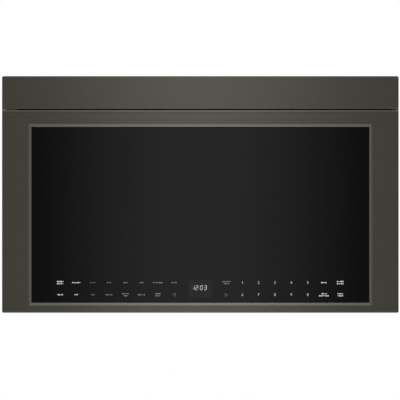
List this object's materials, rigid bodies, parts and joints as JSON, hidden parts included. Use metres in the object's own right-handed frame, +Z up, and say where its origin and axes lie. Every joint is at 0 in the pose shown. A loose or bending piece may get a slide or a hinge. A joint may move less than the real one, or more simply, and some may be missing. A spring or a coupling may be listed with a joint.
{
  "type": "over the range microwave",
  "caption": "Over-the-range microwave oven with a full-width framed glass door that carries the touch keys and clock, a plain vent panel, a vent blower and a turntable.",
  "frame": {"origin": "on the wall plane, at the centre of the back outline, on the wall plate's rear face", "axes": "+X to the right seen from the room, +Y into the wall, +Z up; the door faces -Y"},
  "size_m": [0.759, 0.406, 0.453],
  "materials": {
    "black_stainless": "dark tinted brushed stainless, satin",
    "door_glass": "near-black tempered glass, polished",
    "clear_glass": "clear tempered glass",
    "case_paint": "baked black powder coat on sheet steel",
    "galvanised": "zinc-coated sheet steel",
    "oven_enamel": "grey baked enamel",
    "door_enamel": "black baked enamel",
    "black_plastic": "moulded black plastic",
    "white_plastic": "moulded white plastic",
    "grey_plastic": "moulded grey plastic",
    "filter_aluminium": "layered aluminium mesh",
    "charcoal": "black charcoal mat in a frame",
    "mica": "mica sheet",
    "circuit_board": "green solder mask",
    "display": "dark display lens",
    "lamp_lens": "frosted lamp cover",
    "motor_steel": "laminated and pressed steel",
    "shaft_steel": "ground steel",
    "copper": "lacquered copper windings and steel core",
    "can_aluminium": "drawn aluminium can"
  },
  "bodies": {
    "case": {"wall_plate": "galvanised", "back_panel": "galvanised", "case_wrap": "case_paint", "base_pan": "case_paint", "air_plate": "galvanised", "blower_deck": "galvanised", "vent_panel": "black_stainless", "charcoal_filter": "charcoal", "exhaust_adapter": "galvanised", "cord_gland": "black_plastic", "front_plate": "oven_enamel", "oven_liner": "oven_enamel", "waveguide_cover": "mica", "oven_lamp": "grey_plastic", "turntable_motor": "motor_steel", "waveguide": "galvanised", "magnetron": "motor_steel", "hv_transformer": "copper", "capacitor": "can_aluminium", "cooling_fan_frame": "galvanised", "cooling_fan_motor": "motor_steel", "power_board": "circuit_board", "interlock_bracket": "grey_plastic", "door_switch_upper": "black_plastic", "door_switch_lower": "black_plastic", "blower_motor": "motor_steel", "hinge_upper": "galvanised", "hinge_lower": "galvanised", "blower_housing_left": "galvanised", "cooktop_lamp_left": "grey_plastic", "lamp_lens_left": "lamp_lens", "blower_housing_right": "galvanised", "cooktop_lamp_right": "grey_plastic", "lamp_lens_right": "lamp_lens"},
    "door": {"door_frame": "black_stainless", "door_glass": "door_glass", "door_inner_panel": "door_enamel", "choke_cover": "black_plastic", "door_screen": "door_enamel", "door_inner_glass": "clear_glass", "touch_board": "circuit_board", "display_module": "display", "door_hinge_bushes": "white_plastic", "latch_spring": "shaft_steel"},
    "latch": {"latch_hooks": "grey_plastic"},
    "turntable": {"turntable_hub": "white_plastic"},
    "tray": {"glass_tray": "clear_glass"},
    "roller_ring": {"roller_ring": "white_plastic"},
    "roller_1": {"roller_wheel_1": "white_plastic"},
    "roller_2": {"roller_wheel_2": "white_plastic"},
    "roller_3": {"roller_wheel_3": "white_plastic"},
    "blower_rotor": {"blower_shaft": "shaft_steel", "blower_wheel_left": "black_plastic", "blower_wheel_right": "black_plastic"},
    "cooling_fan": {"cooling_fan_blade": "black_plastic"},
    "damper": {"damper_flap": "galvanised"},
    "filter_left": {"grease_filter_left": "filter_aluminium"},
    "filter_right": {"grease_filter_right": "filter_aluminium"},
    "plunger_upper": {"switch_plunger_upper": "white_plastic"},
    "plunger_lower": {"switch_plunger_lower": "white_plastic"}
  },
  "joints": [
    {"name": "door_swing", "type": "hinge", "parent": "case", "child": "door", "pos_m": [-0.3655, -0.39, 0], "axis": [0, 0, -1], "range_deg": [0, 95]},
    {"name": "latch_lift", "type": "slide", "parent": "door", "child": "latch", "axis": [0, 0, 1], "range_m": [-0.003, 0], "stiffness_N_per_m": 400, "springref_m": -0.003, "deforming": ["latch_spring"]},
    {"name": "turntable_spin", "type": "hinge", "parent": "case", "child": "turntable", "pos_m": [-0.085, -0.1941, -0.152], "axis": [0, 0, 1], "continuous": true},
    {"name": "tray_lift", "type": "slide", "parent": "turntable", "child": "tray", "axis": [0, 0, 1], "range_m": [0, 0.03]},
    {"name": "roller_ring_spin", "type": "hinge", "parent": "case", "child": "roller_ring", "pos_m": [-0.085, -0.1941, -0.1427], "axis": [0, 0, 1], "continuous": true},
    {"name": "roller_1_spin", "type": "hinge", "parent": "roller_ring", "child": "roller_1", "pos_m": [0.0231, -0.1941, -0.1427], "axis": [1, 0, 0], "continuous": true},
    {"name": "roller_2_spin", "type": "hinge", "parent": "roller_ring", "child": "roller_2", "pos_m": [-0.13905, -0.10048, -0.1427], "axis": [-0.5, 0.866, 0], "continuous": true},
    {"name": "roller_3_spin", "type": "hinge", "parent": "roller_ring", "child": "roller_3", "pos_m": [-0.13905, -0.28772, -0.1427], "axis": [-0.5, -0.866, 0], "continuous": true},
    {"name": "blower_spin", "type": "hinge", "parent": "case", "child": "blower_rotor", "pos_m": [0, -0.11, 0.1568], "axis": [1, 0, 0], "continuous": true},
    {"name": "cooling_fan_spin", "type": "hinge", "parent": "case", "child": "cooling_fan", "pos_m": [0.248, -0.062, -0.012], "axis": [0, 1, 0], "continuous": true},
    {"name": "damper_swing", "type": "hinge", "parent": "case", "child": "damper", "pos_m": [0, -0.11086, 0.214], "axis": [1, 0, 0], "range_deg": [0, 75]},
    {"name": "filter_left_drop", "type": "hinge", "parent": "case", "child": "filter_left", "pos_m": [-0.185, -0.1354, -0.2217], "axis": [1, 0, 0], "range_deg": [0, 50]},
    {"name": "filter_right_drop", "type": "hinge", "parent": "case", "child": "filter_right", "pos_m": [0.185, -0.1354, -0.2217], "axis": [1, 0, 0], "range_deg": [0, 50]},
    {"name": "switch_upper_press", "type": "slide", "parent": "case", "child": "plunger_upper", "axis": [0, 1, 0], "range_m": [0, 0.0015], "stiffness_N_per_m": 200},
    {"name": "switch_lower_press", "type": "slide", "parent": "case", "child": "plunger_lower", "axis": [0, 1, 0], "range_m": [0, 0.0015], "stiffness_N_per_m": 200}
  ],
  "couplings": [
    {"joint": "roller_ring_spin", "follows": "turntable_spin", "ratio": 0.5},
    {"joint": "roller_1_spin", "follows": "turntable_spin", "ratio": -6.0056},
    {"joint": "roller_2_spin", "follows": "turntable_spin", "ratio": -6.0056},
    {"joint": "roller_3_spin", "follows": "turntable_spin", "ratio": -6.0056}
  ]
}
